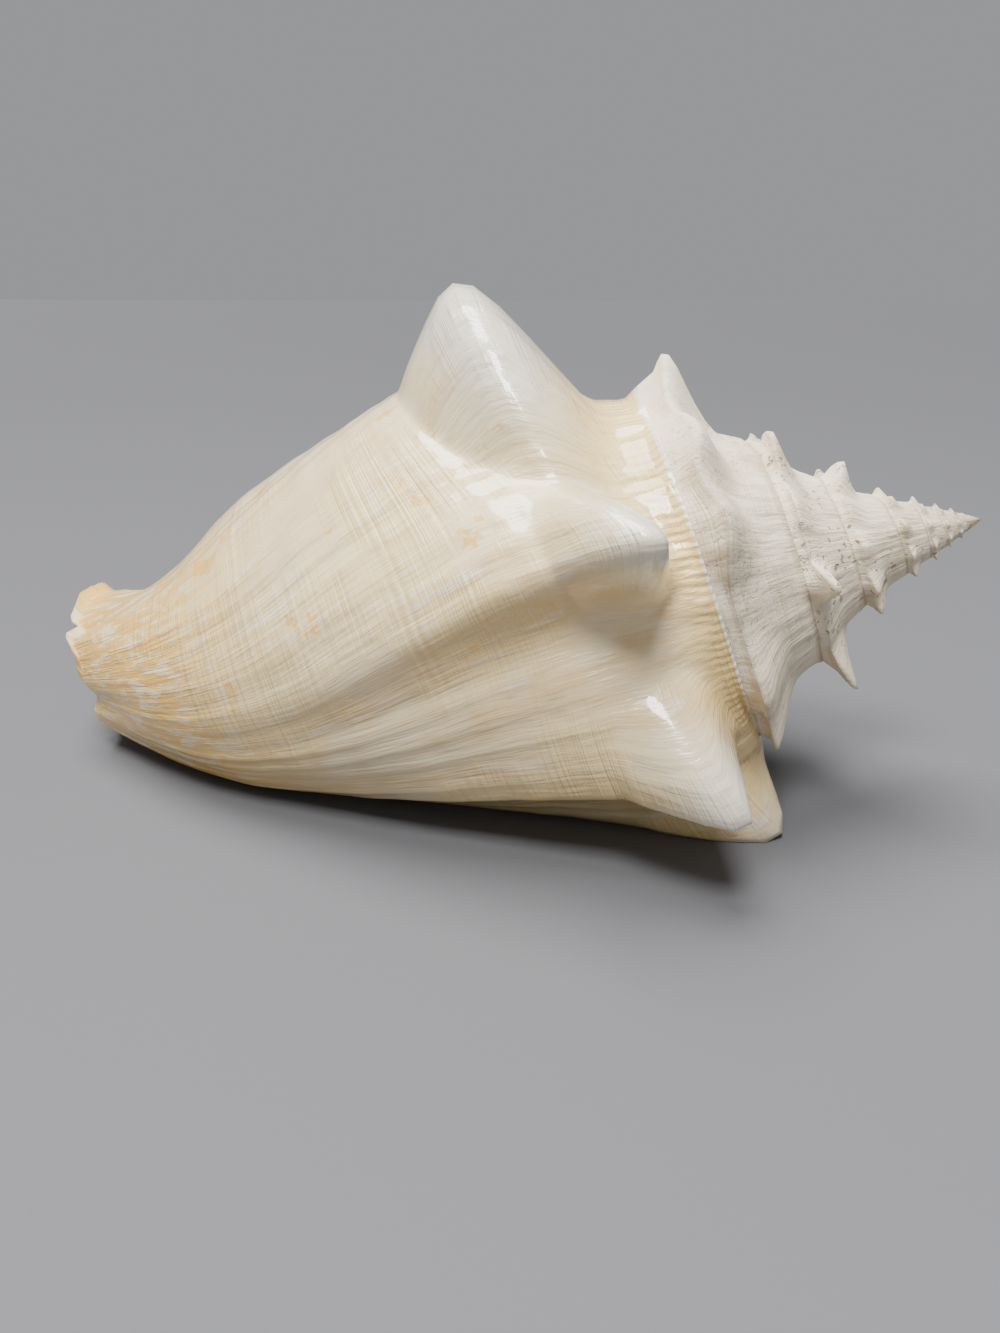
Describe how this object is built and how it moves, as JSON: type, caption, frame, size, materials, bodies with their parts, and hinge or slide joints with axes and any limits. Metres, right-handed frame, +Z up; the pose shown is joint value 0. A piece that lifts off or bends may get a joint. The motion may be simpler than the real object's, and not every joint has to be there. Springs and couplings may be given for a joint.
{
  "type": "queen conch shell",
  "caption": "Large spired sea shell with shoulder spines and a flared lip, lying mouth down on a table.",
  "frame": {"origin": "centre of the bounding box's underside, on the table", "axes": "+X towards the apex along the shell's length, +Y towards the flared lip, +Z up"},
  "size_m": [0.2466, 0.171, 0.1269],
  "materials": {
    "shell": "ivory shell, glossy on the last whorl and chalky on the spire"
  },
  "bodies": {
    "root": {"shell": "shell"}
  },
  "joints": []
}
